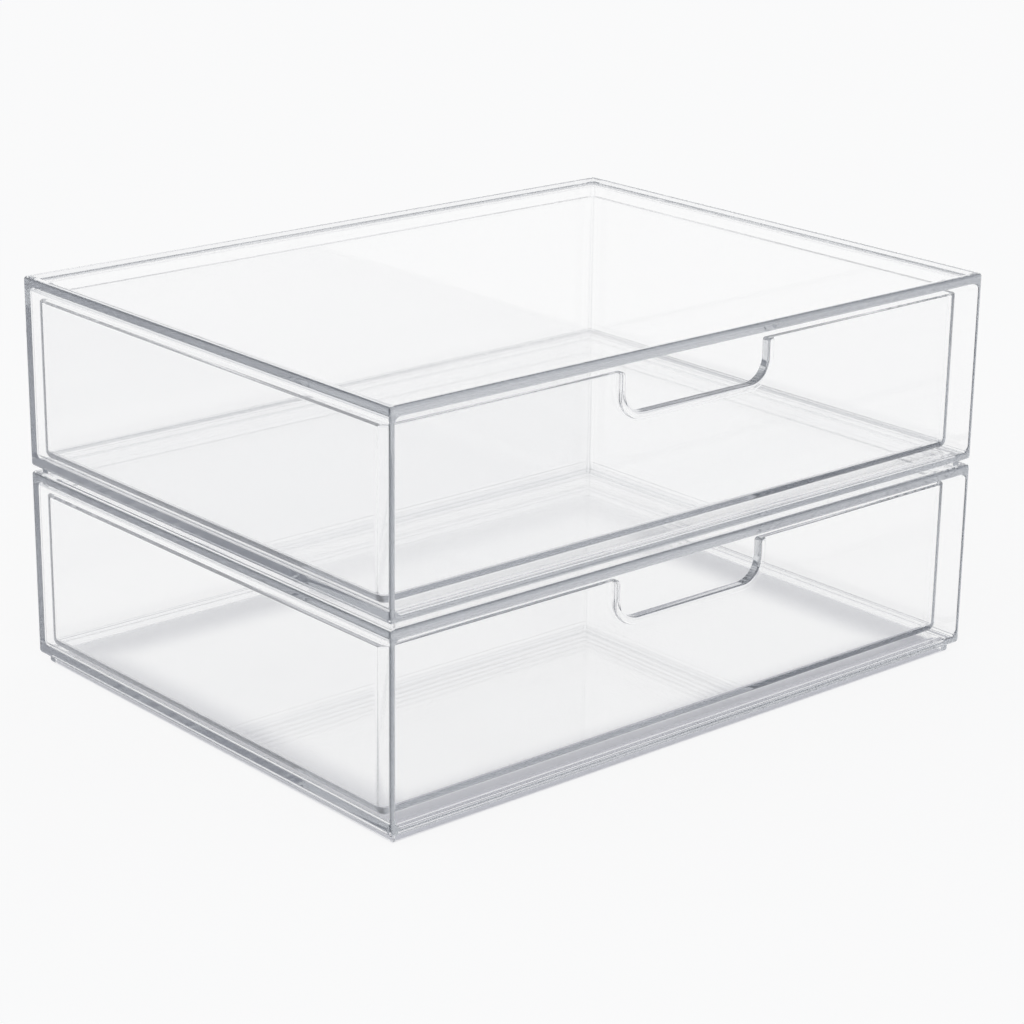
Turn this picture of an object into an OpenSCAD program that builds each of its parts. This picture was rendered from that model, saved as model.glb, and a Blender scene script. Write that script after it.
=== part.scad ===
// Stackable drawer box: two equal clear units, one stacked on the other.
// Each unit is a one-piece case, open at the front, and a one-piece drawer that slides in it.
// Millimetres. +Z is up, the open fronts face -Y, and the origin is at the middle of the base.

/* [Case] */
// Width of a case over its side walls
case_w = 318; // [300:1:380]
// Depth of a case from its open front to its back
case_d = 243; // [232:1:320]
// Height of the space between the case's floor and its top plate
space_h = 74.3; // [50:0.1:150]
// Thickness of the side walls and of the back wall
case_wall = 2.5; // [1.8:0.1:4]
// Thickness of the case's floor
floor_t = 3.5; // [1.8:0.1:5]
// Thickness of the top plate
plate_t = 2.6; // [1.8:0.1:5]
// Radius of the case's upright outer corners
case_corner_r = 1.5; // [0.5:0.1:3]
// Radius of the moulded fillets inside the case
case_fillet_r = 2.8; // [1:0.1:4]

/* [Stacking] */
// Height of the rim that stands round the top plate
rim_h = 1.6; // [1:0.1:5]
// Width of that rim
rim_w = 3; // [2:0.1:6]
// Radius of the fillet between the rim and the plate inside it
rim_fillet_r = 0.9; // [0.4:0.1:1]
// Width of the foot, the ring that stands under the floor
foot_w = 2.4; // [2:0.1:6]
// Radius of the foot's rounded outer edge and corners
foot_edge_r = 0.9; // [0.8:0.1:1.5]
// Radius of the fillet between the foot and the floor inside it
foot_fillet_r = 1.2; // [0.4:0.1:1.5]
// Play between the foot and the rim that it stands in, on each side
foot_play = 0.3; // [0.3:0.1:2]
// Gap left in view between two stacked cases
stack_gap = 2.3; // [0.5:0.1:6]

/* [Drawer] */
// Thickness of the drawer's walls
drawer_wall = 2.5; // [1.8:0.1:3.5]
// Thickness of the drawer's floor
drawer_floor = 3; // [1.8:0.1:5]
// Radius of the drawer's upright outer corners
drawer_corner_r = 4.8; // [4.2:0.1:12]
// Radius of the drawer's rounded outer bottom edge
drawer_edge_r = 4; // [1:0.1:4]
// How far the drawer's front stands back from the case's front
front_recess = 8.5; // [4:0.1:20]
// Play between the drawer and each side wall of the case
side_play = 1.7; // [0.5:0.1:3]
// Play behind the closed drawer
back_play = 2.1; // [0.5:0.1:8]
// Play over the drawer, below the top plate
top_play = 5.6; // [1:0.1:12]
// Running gap under the drawer
ride_gap = 0.3; // [0.2:0.05:0.6]

/* [Finger cut-out] */
// Width of the cut-out in the top edge of the drawer's front
grip_w = 77.6; // [50:0.1:110]
// Depth of the cut-out below that edge
grip_deep = 17.3; // [12:0.1:24]
// Radius of the two lower corners of the cut-out
grip_r = 9.8; // [4:0.1:11.5]
// Width of the U-shaped lip round the cut-out
lip_w = 3.2; // [1.5:0.1:6]
// How far the lip stands out in front of the drawer
lip_proud = 1.7; // [0.5:0.1:3.5]
// Radius of the lip's two rounded front edges
lip_edge_r = 1.4; // [0.2:0.1:1.4]
// Radius where the lip's inner sides turn out at the top edge
lip_end_r = 1.2; // [0.4:0.1:1.4]

/* [Hidden] */
$fn = 96;

// A cut runs this far past the face that it opens
past = 1;

// The foot reaches through the rim below it and holds the gap above that rim open
foot_h = rim_h + stack_gap;
foot_inset = rim_w + foot_play;

// Heights in a unit that stands on z = 0
space_z = foot_h + floor_t;
plate_z = space_z + space_h;
unit_pitch = plate_z + plate_t;

// The drawer in its case
drawer_w = case_w - 2 * (case_wall + side_play);
drawer_d = case_d - case_wall - back_play - front_recess;
drawer_h = space_h - ride_gap - top_play;
drawer_y = -case_d / 2 + front_recess + drawer_d / 2;

// The lip and the wall behind it together
lip_t = lip_proud + drawer_wall;

// The drawer's inner radii follow the outer ones at the wall's distance
inner_corner_r = drawer_corner_r - drawer_wall;
inner_edge_r = min(inner_corner_r, max(drawer_edge_r - drawer_wall, 1));

// Flat outline with round corners, centred on the origin
module rounded_rect(w, d, r) {
    square([w - 2 * r, d], center = true);
    square([w, d - 2 * r], center = true);
    for (x = [-1, 1], y = [-1, 1])
        translate([x * (w / 2 - r), y * (d / 2 - r)])
            circle(r);
}

// Half section of a moulded block: `reach` wide, with its lower outer edge rounded
module edge_section(reach, edge_r, h) {
    difference() {
        square([reach, h]);
        difference() {
            translate([reach - edge_r, -past])
                square([edge_r + past, edge_r + past]);
            translate([reach - edge_r, edge_r])
                circle(edge_r);
        }
    }
}

// Moulded block standing on z = 0: upright corners of corner_r, bottom edge of edge_r.
// One section is swept straight along the four sides and turned round the four corners.
module moulded_block(w, d, h, corner_r, edge_r) {
    x_run = w - 2 * corner_r;
    y_run = d - 2 * corner_r;
    translate([-x_run / 2, -y_run / 2, 0])
        cube([x_run, y_run, h]);
    for (side = [0, 180])
        rotate(side) {
            translate([x_run / 2, y_run / 2, 0])
                rotate([90, 0, 0])
                    linear_extrude(y_run)
                        edge_section(corner_r, edge_r, h);
            translate([-x_run / 2, y_run / 2, 0])
                rotate([90, 0, 90])
                    linear_extrude(x_run)
                        edge_section(corner_r, edge_r, h);
            translate([x_run / 2, y_run / 2, 0])
                rotate_extrude(angle = 90)
                    edge_section(corner_r, edge_r, h);
            translate([-x_run / 2, y_run / 2, 0])
                rotate(90)
                    rotate_extrude(angle = 90)
                        edge_section(corner_r, edge_r, h);
        }
}

// Case: one moulding with a foot below, a rim above, and a filleted space open at the front
module unit_case() {
    space_w = case_w - 2 * case_wall;
    space_d = case_d - case_wall;
    hollow_inset = foot_inset + foot_w;
    color("aliceblue")
        difference() {
            union() {
                translate([0, 0, foot_h])
                    linear_extrude(unit_pitch + rim_h - foot_h)
                        rounded_rect(case_w, case_d, case_corner_r);
                moulded_block(case_w - 2 * foot_inset, case_d - 2 * foot_inset, space_z, foot_edge_r,
                              foot_edge_r);
            }
            translate([0, case_d / 2 - case_wall, space_z + space_h / 2])
                rotate([90, 0, 0])
                    moulded_block(space_w, space_h, space_d + past, case_fillet_r, case_fillet_r);
            translate([0, 0, unit_pitch])
                moulded_block(case_w - 2 * rim_w, case_d - 2 * rim_w, rim_h + past, rim_fillet_r,
                              rim_fillet_r);
            translate([0, 0, foot_h])
                rotate([180, 0, 0])
                    moulded_block(case_w - 2 * hollow_inset, case_d - 2 * hollow_inset, foot_h + past,
                                  foot_fillet_r, foot_fillet_r);
        }
}

// Outline of the cut-out, hanging from the drawer's top edge at y = 0, its upper ends turned outwards
module grip_cut() {
    intersection() {
        rounded_rect(grip_w, 2 * grip_deep, grip_r);
        translate([-grip_w / 2, -grip_deep])
            square([grip_w, grip_deep + past]);
    }
    for (x = [-1, 1])
        difference() {
            translate([x * grip_w / 2, 0])
                square(2 * lip_end_r, center = true);
            translate([x * (grip_w / 2 + lip_end_r), -lip_end_r])
                circle(lip_end_r);
        }
}

// Section of the lip, from the inside of the drawer's wall to the lip's two rounded front edges
module lip_section() {
    square([lip_w, lip_t - lip_edge_r]);
    translate([lip_edge_r, 0])
        square([lip_w - 2 * lip_edge_r, lip_t]);
    for (x = [lip_edge_r, lip_w - lip_edge_r])
        translate([x, lip_t - lip_edge_r])
            circle(lip_edge_r);
}

// U-shaped lip under y = 0: the section runs down, round a corner, across, and up again
module grip_lip() {
    leg = grip_deep - grip_r;
    run = grip_w - 2 * grip_r;
    for (side = [0, 1])
        mirror([side, 0, 0]) {
            translate([grip_w / 2, 0, 0])
                rotate([90, 0, 0])
                    linear_extrude(leg)
                        lip_section();
            translate([run / 2, -leg, 0])
                rotate(-90)
                    rotate_extrude(angle = 90)
                        translate([grip_r, 0])
                            lip_section();
        }
    translate([-run / 2, -grip_deep, 0])
        mirror([0, 1, 0])
            rotate([90, 0, 90])
                linear_extrude(run)
                    lip_section();
}

// Drawer: one moulded tray, with a lip round the finger cut-out in its front wall
module unit_drawer() {
    color("azure")
        translate([0, drawer_y, space_z + ride_gap])
            difference() {
                union() {
                    difference() {
                        moulded_block(drawer_w, drawer_d, drawer_h, drawer_corner_r, drawer_edge_r);
                        translate([0, 0, drawer_floor])
                            moulded_block(drawer_w - 2 * drawer_wall, drawer_d - 2 * drawer_wall,
                                          drawer_h, inner_corner_r, inner_edge_r);
                    }
                    translate([0, drawer_wall - drawer_d / 2, drawer_h])
                        rotate([90, 0, 0])
                            grip_lip();
                }
                translate([0, drawer_wall + past - drawer_d / 2, drawer_h])
                    rotate([90, 0, 0])
                        linear_extrude(lip_t + 2 * past)
                            grip_cut();
            }
}

module lower_case() { unit_case(); }
module lower_drawer() { unit_drawer(); }
module upper_case() { translate([0, 0, unit_pitch]) unit_case(); }
module upper_drawer() { translate([0, 0, unit_pitch]) unit_drawer(); }

lower_case();
lower_drawer();
upper_case();
upper_drawer();
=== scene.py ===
import math

import bmesh
import bpy
from mathutils import Matrix, Vector


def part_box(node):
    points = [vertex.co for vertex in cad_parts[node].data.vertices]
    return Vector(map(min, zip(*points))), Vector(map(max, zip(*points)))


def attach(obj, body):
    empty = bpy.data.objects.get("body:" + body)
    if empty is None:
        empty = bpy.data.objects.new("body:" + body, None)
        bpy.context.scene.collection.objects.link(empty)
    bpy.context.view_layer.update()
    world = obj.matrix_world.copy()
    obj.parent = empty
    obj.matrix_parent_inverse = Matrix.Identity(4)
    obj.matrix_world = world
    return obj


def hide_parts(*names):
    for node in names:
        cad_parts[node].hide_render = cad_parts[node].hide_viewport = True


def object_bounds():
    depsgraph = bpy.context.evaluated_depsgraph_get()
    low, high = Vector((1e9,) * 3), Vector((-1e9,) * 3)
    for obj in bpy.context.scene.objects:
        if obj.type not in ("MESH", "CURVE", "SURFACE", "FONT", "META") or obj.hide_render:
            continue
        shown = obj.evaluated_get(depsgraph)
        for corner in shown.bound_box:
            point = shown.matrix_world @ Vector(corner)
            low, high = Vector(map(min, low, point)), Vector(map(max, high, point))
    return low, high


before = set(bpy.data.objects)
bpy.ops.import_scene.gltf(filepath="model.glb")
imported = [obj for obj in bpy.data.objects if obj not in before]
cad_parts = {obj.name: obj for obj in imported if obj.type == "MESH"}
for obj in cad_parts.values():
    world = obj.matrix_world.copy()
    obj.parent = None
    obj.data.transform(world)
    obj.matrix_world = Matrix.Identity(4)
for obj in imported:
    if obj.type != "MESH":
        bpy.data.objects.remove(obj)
cad_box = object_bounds()

# ---------------------------------------------------------------- Camera
# A long lens looks down at the stack's front left corner, at about 19 degrees. The numbers come
# from a fit of this view to the corners of both cases in the photograph.

camera_spot = Vector((-0.75898, -0.87653, 0.45871))
camera_turn = math.radians(41.04)
camera_dip = math.radians(18.721)
camera_roll = math.radians(0.73)

sensor_width = 36
focal_length = 100.661
nearest_seen = 0.05
farthest_seen = 50

lens = bpy.data.cameras.new("camera")
lens.sensor_width = sensor_width
lens.lens = focal_length
lens.clip_start = nearest_seen
lens.clip_end = farthest_seen
camera = bpy.data.objects.new("camera", lens)
bpy.context.scene.collection.objects.link(camera)
camera.matrix_world = (
    Matrix.Translation(camera_spot)
    @ Matrix.Rotation(-camera_turn, 4, "Z")
    @ Matrix.Rotation(math.pi / 2 - camera_dip, 4, "X")
    @ Matrix.Rotation(camera_roll, 4, "Z")
)
bpy.context.scene.camera = camera
bpy.context.scene.view_settings.view_transform = "Standard"


# ---------------------------------------------------------------- White table in a white tent
# The stack stands on a white table in a tent of white cloth. The tent's roof and its open front
# are dimmer than its sides and back, which gives the clear walls their grey edges.

class Shade:
    """What one shader socket gives. Sums on it add Math nodes, and node() adds any other node."""

    def __init__(self, tree, socket=None):
        self.tree = tree
        self.socket = socket

    def node(self, kind, settings, inputs, output=0):
        """Adds a node: first its settings, then the values or links of its sockets."""
        made = self.tree.nodes.new("ShaderNode" + kind)
        for name, value in settings.items():
            if name == "stops":
                for stop, (place, colour) in zip(made.color_ramp.elements, value):
                    stop.position = place
                    stop.color = colour
            else:
                setattr(made, name, value)
        for name, value in inputs.items():
            if isinstance(value, Shade):
                self.tree.links.new(value.socket, made.inputs[name])
            else:
                made.inputs[name].default_value = value
        return Shade(self.tree, made.outputs[output] if made.outputs else None)

    def maths(self, operation, first, second):
        return self.node("Math", {"operation": operation}, {0: first, 1: second})

    def __add__(self, other):
        return self.maths("ADD", self, other)

    def __abs__(self):
        return self.maths("ABSOLUTE", self, 0)

    def __sub__(self, other):
        return self.maths("SUBTRACT", self, other)

    def __rsub__(self, other):
        return self.maths("SUBTRACT", other, self)

    def __mul__(self, other):
        return self.maths("MULTIPLY", self, other)

    __radd__ = __add__
    __rmul__ = __mul__


def fresh_tree(owner):
    owner.use_nodes = True
    owner.node_tree.nodes.clear()
    return Shade(owner.node_tree)


def eased(shade, start, end):
    """0 up to start and 1 from end on, with a soft slope between them."""
    return shade.node("MapRange", {"interpolation_type": "SMOOTHSTEP", "clamp": True},
                      {"Value": shade, "From Min": start, "From Max": end, "To Min": 0.0, "To Max": 1.0})


def mixed(share, first, second):
    """The first colour where the share is 0, and the second where it is 1."""
    first_colour, second_colour, mixed_colour = 6, 7, 2
    return share.node("Mix", {"data_type": "RGBA"},
                      {0: share, first_colour: first, second_colour: second}, mixed_colour)


white = (1, 1, 1, 1)
roof_white = (0.6, 0.62, 0.66, 1)
room_grey = (0.42, 0.43, 0.48, 1)
sides_end = 0.25
roof_starts = 0.75
door_starts = 0.15
door_full = -0.6
table_half = 6
table_drop = 0.0001
table_glow = 0.9
# painted shade under the stack's edges: its lower glow share, its grey-lilac tint, and where the band
# starts and ends
painted_shade_glow = 0.42
painted_shade_tint = (0.86, 0.87, 0.93, 1)
edge_inset = 0.0033
edge_soft = 0.0014
edge_shade_from = 0.012
edge_shade_to = 0.035

tent = bpy.data.worlds.new("tent")
bpy.context.scene.world = tent
air = fresh_tree(tent)
way = air.node("TexCoord", {}, {}, "Generated")
height = air.node("SeparateXYZ", {}, {0: way}, "Z")
cloth = air.node("ValToRGB", {"stops": [(sides_end, white), (roof_starts, roof_white)]}, {0: height})
to_front = eased(air.node("SeparateXYZ", {}, {0: way}, "Y"), door_starts, door_full)
around = mixed(to_front, cloth, room_grey)
seen = air.node("LightPath", {}, {}, "Is Camera Ray")
lit = air.node("Background", {}, {"Color": around, "Strength": 1.0})
plain = air.node("Background", {}, {"Color": white, "Strength": 1.0})
both = air.node("MixShader", {}, {0: seen, 1: lit, 2: plain})
air.node("OutputWorld", {}, {"Surface": both})

# The camera sees the table nearly white, also through the plastic. Under the stack's edges it has a painted
# shade: a grey-lilac band set by place. The band stands in for the stack's shadow and is not cast by it.
table_white = bpy.data.materials.new("table_white")
paint = fresh_tree(table_white)
straight = paint.node("LightPath", {}, {}, "Is Camera Ray")
mirrored = paint.node("LightPath", {}, {}, "Is Glossy Ray")
through = paint.node("LightPath", {}, {}, "Is Transmission Ray")
looked_at = 1 - (1 - straight) * (1 - mirrored) * (1 - through)
place = paint.node("TexCoord", {}, {}, "Object")
past_side = abs(paint.node("SeparateXYZ", {}, {0: place}, "X")) - cad_box[1].x
past_front = abs(paint.node("SeparateXYZ", {}, {0: place}, "Y")) - cad_box[1].y
past_edge = paint.maths("MAXIMUM", past_side, past_front)
# painted shade: by place, the table is darker and grey-lilac in a band just inside the stack's edges
clear_of_painted_shade = paint.maths("MAXIMUM", eased(past_edge, -edge_inset - edge_soft, -edge_inset),
                            eased(past_edge, -edge_shade_from, -edge_shade_to))
glow_share = painted_shade_glow + (table_glow - painted_shade_glow) * clear_of_painted_shade
paper_with_painted_shade = mixed(clear_of_painted_shade, painted_shade_tint, white)
matt = paint.node("BsdfDiffuse", {}, {"Color": paper_with_painted_shade, "Roughness": 1.0})
glow = paint.node("Emission", {}, {"Color": paper_with_painted_shade, "Strength": 1.0})
top_coat = paint.node("MixShader", {}, {0: looked_at * glow_share, 1: matt, 2: glow})
paint.node("OutputMaterial", {}, {"Surface": top_coat})

sheet = bmesh.new()
bmesh.ops.create_grid(sheet, x_segments=1, y_segments=1, size=table_half)
bmesh.ops.translate(sheet, vec=(0, 0, -table_drop), verts=sheet.verts)
table_mesh = bpy.data.meshes.new("table")
sheet.to_mesh(table_mesh)
sheet.free()
table_mesh.materials.append(table_white)
table = bpy.data.objects.new("table", table_mesh)
bpy.context.scene.collection.objects.link(table)

# Light runs the length of a wall or plate by bouncing between its faces, so it needs many bounces
bounces_in_a_wall = 200

cycles = bpy.context.scene.cycles
cycles.max_bounces = bounces_in_a_wall
cycles.transmission_bounces = bounces_in_a_wall
cycles.glossy_bounces = bounces_in_a_wall
cycles.transparent_max_bounces = 16


# ---------------------------------------------------------------- Cases
# Each case is one injection moulding in clear plastic: floor, walls and top plate, a rim that
# stands round the plate, and a ring-shaped foot under the floor. The front is open.

MM = 0.001
case_wall = 2.5 * MM
case_floor = 3.5 * MM
top_plate = 2.6 * MM
rim_height = 1.6 * MM
rim_width = 3.0 * MM
rim_fillet = 0.9 * MM
foot_height = 3.9 * MM
foot_inset = 3.3 * MM
foot_width = 2.4 * MM
foot_edge = 0.9 * MM
foot_fillet = 1.2 * MM
case_corner = 1.5 * MM
space_fillet = 2.8 * MM
mouth_edge = 1.0 * MM
soft_edge = 0.4 * MM
# what counts as a sharp edge, as facing one way, as lying on one line and as one point
crease = math.radians(50)
same_way = 0.99
hair = 0.001 * MM
weld = 0.0001 * MM
ripple_height = 0.03 * MM
scuffs_start = 0.62
scuffs_full = 0.78
scuff_roughness = 0.08
resin_ior = 1.49
depth_colour = (0.0, 0.05, 0.13, 1)
depth_density = 2.25


def sharp_edges(bm):
    return [e for e in bm.edges if len(e.link_faces) == 2 and e.calc_face_angle(0) > crease]


def round_off(bm, edges, radius, segments):
    bmesh.ops.bevel(bm, geom=edges, offset=radius, segments=segments, profile=0.5,
                    affect="EDGES", material=-1, clamp_overlap=False)


def finished(bm, name, body, node, material):
    bmesh.ops.remove_doubles(bm, verts=bm.verts, dist=weld)
    bmesh.ops.recalc_face_normals(bm, faces=bm.faces)
    for face in bm.faces:
        face.smooth = True
    mesh = bpy.data.meshes.new(name)
    bm.to_mesh(mesh)
    bm.free()
    mesh.materials.append(material)
    piece = bpy.data.objects.new(name, mesh)
    bpy.context.scene.collection.objects.link(piece)
    even = piece.modifiers.new("even_shading", "WEIGHTED_NORMAL")
    even.keep_sharp = True
    even.weight = 100
    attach(piece, body)
    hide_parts(node)


def facing(bm, direction):
    return max((f for f in bm.faces if f.normal.dot(direction) > same_way), key=lambda f: f.calc_area())


def edges_of(verts):
    return {e for v in verts for e in v.link_edges}


def sunk(bm, face, step):
    """Extrudes that face by the step, and gives the new face and the edges round and beside it."""
    face = bmesh.ops.extrude_discrete_faces(bm, faces=[face])["faces"][0]
    bmesh.ops.translate(bm, vec=step, verts=face.verts)
    return face, edges_of(face.verts)


def case_moulding(node):
    low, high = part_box(node)
    half_w, half_d = (high.x - low.x) / 2, (high.y - low.y) / 2
    base = low.z + foot_height
    space_low = base + case_floor
    space_high = high.z - rim_height - top_plate
    bm = bmesh.new()
    bmesh.ops.create_cube(bm, size=2)
    bmesh.ops.scale(bm, vec=(half_w, half_d, (high.z - base) / 2), verts=bm.verts)
    bmesh.ops.translate(bm, vec=(0, 0, (high.z + base) / 2), verts=bm.verts)
    # the space for the drawer
    bm.normal_update()
    mouth = facing(bm, Vector((0, -1, 0)))
    bmesh.ops.inset_individual(bm, faces=[mouth], thickness=case_wall, use_even_offset=True)
    for v in mouth.verts:
        v.co.z = space_low if v.co.z < (base + high.z) / 2 else space_high
    space = sunk(bm, mouth, (0, 2 * half_d - case_wall, 0))[1]
    # the rim
    bm.normal_update()
    plate = max((f for f in bm.faces if f.normal.z > same_way), key=lambda f: f.calc_center_median().z)
    bmesh.ops.inset_region(bm, faces=[plate], thickness=rim_width, use_even_offset=True)
    recess = sunk(bm, plate, (0, 0, -rim_height))[1]
    # the foot, and the hollow inside it
    under = min((f for f in bm.faces if f.normal.z < -same_way), key=lambda f: f.calc_center_median().z)
    bmesh.ops.inset_region(bm, faces=[under], thickness=foot_inset, use_even_offset=True)
    under, sole = sunk(bm, under, (0, 0, -foot_height))
    bmesh.ops.inset_region(bm, faces=[under], thickness=foot_width, use_even_offset=True)
    sole = [e for e in bm.edges if e in sole]
    hollow = sunk(bm, under, (0, 0, foot_height))[1]
    # the round corners and the fillets, then a soft line on every edge that is left
    bmesh.ops.recalc_face_normals(bm, faces=bm.faces)
    outer = [e for e in bm.edges
             if all(abs(abs(v.co.x) - half_w) < hair and abs(abs(v.co.y) - half_d) < hair for v in e.verts)]
    round_off(bm, outer, case_corner, segments=6)
    round_off(bm, [e for e in bm.edges if e in recess], rim_fillet, segments=6)
    round_off(bm, [e for e in bm.edges if e in sole], foot_edge, segments=5)
    round_off(bm, [e for e in bm.edges if e in hollow], foot_fillet, segments=6)
    round_off(bm, [e for e in bm.edges if e in space], space_fillet, segments=8)
    mouth_edges = [e for e in sharp_edges(bm)
                   if all(v.co.y < hair - half_d and abs(v.co.x) < half_w - case_wall + hair
                          and space_low - hair < v.co.z < space_high + hair for v in e.verts)]
    round_off(bm, mouth_edges, mouth_edge, segments=4)
    round_off(bm, sharp_edges(bm), soft_edge, segments=3)
    return bm


def clear_plastic(name, flow, scuff_scale):
    """Water-clear plastic: its colour is in its depth. The skin keeps the slow ripples that the
    melt left as it flowed in from the gate, and has a few hair-fine scuffs from use."""
    made = bpy.data.materials.new(name)
    resin = fresh_tree(made)
    place = resin.node("TexCoord", {}, {}, "Object")
    along_flow = resin.node("Mapping", {}, {"Vector": place, "Scale": flow})
    ripples = resin.node("TexNoise", {},
                         {"Vector": along_flow, "Scale": 1.0, "Detail": 1.0, "Roughness": 0.4})
    relief = resin.node("Bump", {}, {"Height": ripples, "Strength": 1.0, "Distance": ripple_height})
    along_scuffs = resin.node("Mapping", {}, {"Vector": place, "Scale": scuff_scale})
    scuffs = resin.node("TexNoise", {},
                        {"Vector": along_scuffs, "Scale": 1.0, "Detail": 2.0, "Roughness": 0.6})
    skin = resin.node("BsdfPrincipled", {}, {
        "Base Color": white,
        "Roughness": eased(scuffs, scuffs_start, scuffs_full) * scuff_roughness,
        "IOR": resin_ior,
        "Transmission Weight": 1.0,
        "Normal": relief,
    })
    depth = resin.node("VolumeAbsorption", {}, {"Color": depth_colour, "Density": depth_density})
    resin.node("OutputMaterial", {}, {"Surface": skin, "Volume": depth})
    return made


case_flow = (14, 9, 22)
case_scuffs = (260, 14, 260)
case_plastic = clear_plastic("case_plastic", case_flow, case_scuffs)
for node in ("lower_case", "upper_case"):
    finished(case_moulding(node), node + "_moulding", node, node, case_plastic)


# ---------------------------------------------------------------- Drawers
# Each drawer is one clear tray, moulded in the same plastic, with round corners. A rounded lip
# stands out round the finger cut-out in the middle of its front wall.

drawer_wall = 2.5 * MM
drawer_floor = 3.0 * MM
drawer_corner = 4.8 * MM
drawer_edge = 4.0 * MM
drawer_inner_edge = 1.5 * MM
grip_half = 38.8 * MM
grip_deep = 17.3 * MM
grip_corner = 9.8 * MM
lip_width = 3.2 * MM
lip_proud = 1.7 * MM
lip_front_edge = 1.1 * MM
lip_end = 1.2 * MM
nearly_flat = math.radians(0.3)


def drawer_moulding(node):
    low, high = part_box(node)
    front = low.y + lip_proud
    width, depth, height = high.x - low.x, high.y - front, high.z - low.z
    top = high.z
    bm = bmesh.new()
    bmesh.ops.create_cube(bm, size=1)
    bmesh.ops.scale(bm, vec=(width, depth, height), verts=bm.verts)
    bmesh.ops.translate(bm, vec=(0, front + depth / 2, low.z + height / 2), verts=bm.verts)
    upright = [e for e in bm.edges if abs(e.verts[0].co.z - e.verts[1].co.z) > height / 2]
    round_off(bm, upright, drawer_corner, segments=8)
    bm.normal_update()
    base = facing(bm, Vector((0, 0, -1)))
    round_off(bm, list(base.edges), drawer_edge, segments=7)
    bm.normal_update()
    mouth = facing(bm, Vector((0, 0, 1)))
    bmesh.ops.inset_region(bm, faces=[mouth], thickness=drawer_wall, use_even_offset=True)
    mouth = bmesh.ops.extrude_discrete_faces(bm, faces=[mouth])["faces"][0]
    bmesh.ops.translate(bm, vec=(0, 0, drawer_floor - height), verts=mouth.verts)
    round_off(bm, list(mouth.edges), drawer_inner_edge, segments=5)
    bm.normal_update()

    back_of_front = front + drawer_wall
    lip_half = grip_half + lip_width
    sill = top - grip_deep

    def middle_of(face):
        return face.calc_center_median()

    def front_wall():
        return [f for f in bm.faces
                if front - hair < middle_of(f).y < back_of_front + hair
                and (abs(f.normal.y) > same_way or (f.normal.z > same_way and middle_of(f).z > top - hair))]

    def cut_across(faces, point, normal):
        geom = list({g for f in faces for g in (f, *f.edges, *f.verts)})
        bmesh.ops.bisect_plane(bm, geom=geom, plane_co=point, plane_no=normal, dist=weld)

    # the cut-out, down to its sill, and the strip of the front wall round it that grows into the lip
    for x in (-lip_half, -grip_half, grip_half, lip_half):
        cut_across(front_wall(), Vector((x, front, top)), Vector((1, 0, 0)))
    for half, out, level in ((lip_half, -1, sill - lip_width), (lip_half, -1, sill), (grip_half, 1, sill)):
        faces = [f for f in front_wall()
                 if abs(middle_of(f).x) < half and f.normal.y * out > same_way]
        cut_across([f for f in faces if max(v.co.z for v in f.verts) > level + hair],
                   Vector((0, 0, level)), Vector((0, 0, 1)))
    gone = [f for f in front_wall() if abs(middle_of(f).x) < grip_half and middle_of(f).z > sill]
    bmesh.ops.delete(bm, geom=gone, context="FACES")
    rims = [e for e in bm.edges
            if len(e.link_faces) == 1 and abs(e.verts[0].co.y - e.verts[1].co.y) < hair]
    bmesh.ops.bridge_loops(bm, edges=rims)
    bm.normal_update()
    strip = [f for f in bm.faces
             if abs(middle_of(f).y - front) < hair and abs(f.normal.y) > same_way
             and abs(middle_of(f).x) < lip_half and middle_of(f).z > sill - lip_width]
    grown = bmesh.ops.extrude_face_region(bm, geom=strip)["geom"]
    bmesh.ops.delete(bm, geom=strip, context="FACES")
    bmesh.ops.translate(bm, vec=(0, -lip_proud, 0),
                        verts=[g for g in grown if isinstance(g, bmesh.types.BMVert)])
    bmesh.ops.dissolve_limit(bm, angle_limit=nearly_flat, verts=bm.verts, edges=bm.edges)

    def runs_through(x, z):
        return [e for e in bm.edges
                if all(abs(abs(v.co.x) - x) < hair and abs(v.co.z - z) < hair for v in e.verts)
                and abs(e.verts[0].co.x - e.verts[1].co.x) < hair]

    round_off(bm, runs_through(lip_half, sill - lip_width), grip_corner + lip_width, segments=12)
    round_off(bm, runs_through(grip_half, sill), grip_corner, segments=12)
    round_off(bm, runs_through(grip_half, top), lip_end, segments=5)
    bmesh.ops.recalc_face_normals(bm, faces=bm.faces)
    face_edges = [e for e in sharp_edges(bm)
                  if all(v.co.y < front - lip_proud + hair for v in e.verts)]
    round_off(bm, face_edges, lip_front_edge, segments=5)
    round_off(bm, sharp_edges(bm), soft_edge, segments=3)
    return bm


drawer_flow = (11, 16, 26)
drawer_scuffs = (320, 9, 320)
drawer_plastic = clear_plastic("drawer_plastic", drawer_flow, drawer_scuffs)
for node in ("lower_drawer", "upper_drawer"):
    finished(drawer_moulding(node), node + "_moulding", node, node, drawer_plastic)
